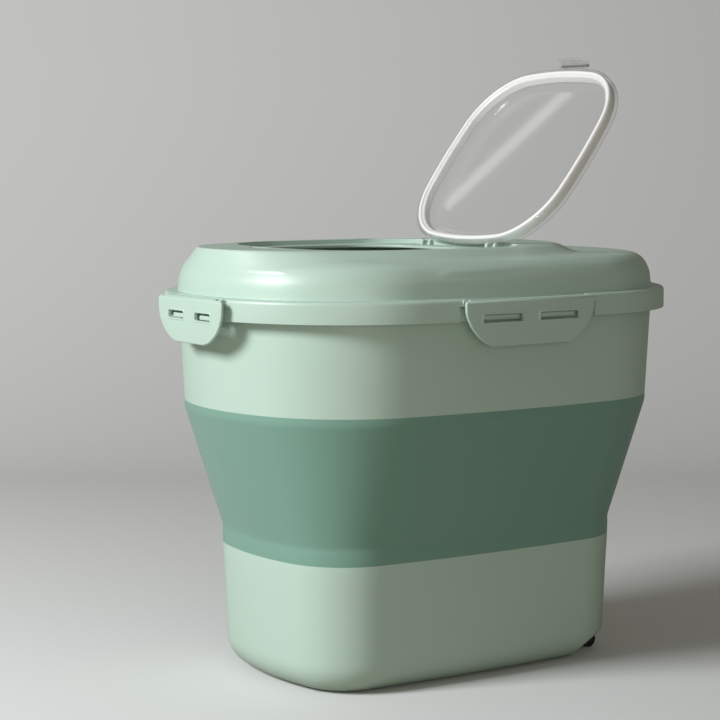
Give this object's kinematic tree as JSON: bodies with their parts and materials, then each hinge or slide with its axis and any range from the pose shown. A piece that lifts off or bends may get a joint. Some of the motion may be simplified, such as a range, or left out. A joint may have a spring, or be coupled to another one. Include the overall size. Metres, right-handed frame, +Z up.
{
  "type": "collapsible pet food container",
  "caption": "Folding-wall food bin: tapered base tub, elastic fold band, upper frame, latched crown lid with a clear hinged flip cover and seal, and small rear wheels.",
  "frame": {"origin": "on the floor under the middle of the bin's plan", "axes": "+X to the wheel end, +Y to the left long side, +Z up; the front latch faces -X"},
  "size_m": [0.4038, 0.2838, 0.4679],
  "materials": {
    "shell": "fine satin moulded sage polypropylene",
    "band": "smooth matte teal elastomer",
    "seal": "white silicone",
    "clear": "clear moulded plastic",
    "wheel": "black moulded plastic",
    "pin": "plain drawn steel"
  },
  "bodies": {
    "base": {"base_shell": "shell", "fold_band": "band", "axle_right": "pin", "axle_left": "pin"},
    "upper": {"upper_frame": "shell"},
    "lid": {"main_lid": "shell", "lid_gasket": "seal", "hinge_pin_right": "pin", "hinge_pin_left": "pin", "front_latch_pin": "pin", "rear_latch_pin": "pin", "right_latch_pin": "pin", "left_latch_pin": "pin"},
    "front_latch": {"front_latch": "shell"},
    "rear_latch": {"rear_latch": "shell"},
    "right_latch": {"right_latch": "shell"},
    "left_latch": {"left_latch": "shell"},
    "cover": {"flip_cover": "clear", "flip_seal": "seal", "flip_clip_pin": "pin"},
    "clip": {"flip_clip": "clear"},
    "wheel_right": {"wheel_right": "wheel"},
    "wheel_left": {"wheel_left": "wheel"}
  },
  "joints": [
    {"name": "collapse", "type": "slide", "parent": "base", "child": "upper", "axis": [0, 0, 1], "range_m": [-0.187, 0], "deforming": ["fold_band"]},
    {"name": "lid_lift", "type": "slide", "parent": "upper", "child": "lid", "axis": [0, 0, 1], "range_m": [0, 0.08]},
    {"name": "front_latch_hinge", "type": "hinge", "parent": "lid", "child": "front_latch", "pos_m": [-0.1966, 0, 0.2872], "axis": [0, 1, 0], "range_deg": [0, 100]},
    {"name": "rear_latch_hinge", "type": "hinge", "parent": "lid", "child": "rear_latch", "pos_m": [0.1966, 0, 0.2872], "axis": [0, -1, 0], "range_deg": [0, 100]},
    {"name": "right_latch_hinge", "type": "hinge", "parent": "lid", "child": "right_latch", "pos_m": [0, -0.1366, 0.2872], "axis": [-1, 0, 0], "range_deg": [0, 100]},
    {"name": "left_latch_hinge", "type": "hinge", "parent": "lid", "child": "left_latch", "pos_m": [0, 0.1366, 0.2872], "axis": [1, 0, 0], "range_deg": [0, 100]},
    {"name": "flip_cover_hinge", "type": "hinge", "parent": "lid", "child": "cover", "pos_m": [0.0385, 0, 0.32175], "axis": [0, 1, 0], "range_deg": [-127.1, 0]},
    {"name": "flip_clip_hinge", "type": "hinge", "parent": "cover", "child": "clip", "pos_m": [0.15372, 0, 0.46142], "axis": [0, 1, 0], "range_deg": [0, 100]},
    {"name": "wheel_right_spin", "type": "hinge", "parent": "base", "child": "wheel_right", "pos_m": [0.1304, -0.0499, 0.0063], "axis": [0, 1, 0], "continuous": true},
    {"name": "wheel_left_spin", "type": "hinge", "parent": "base", "child": "wheel_left", "pos_m": [0.1304, 0.0499, 0.0063], "axis": [0, 1, 0], "continuous": true}
  ]
}
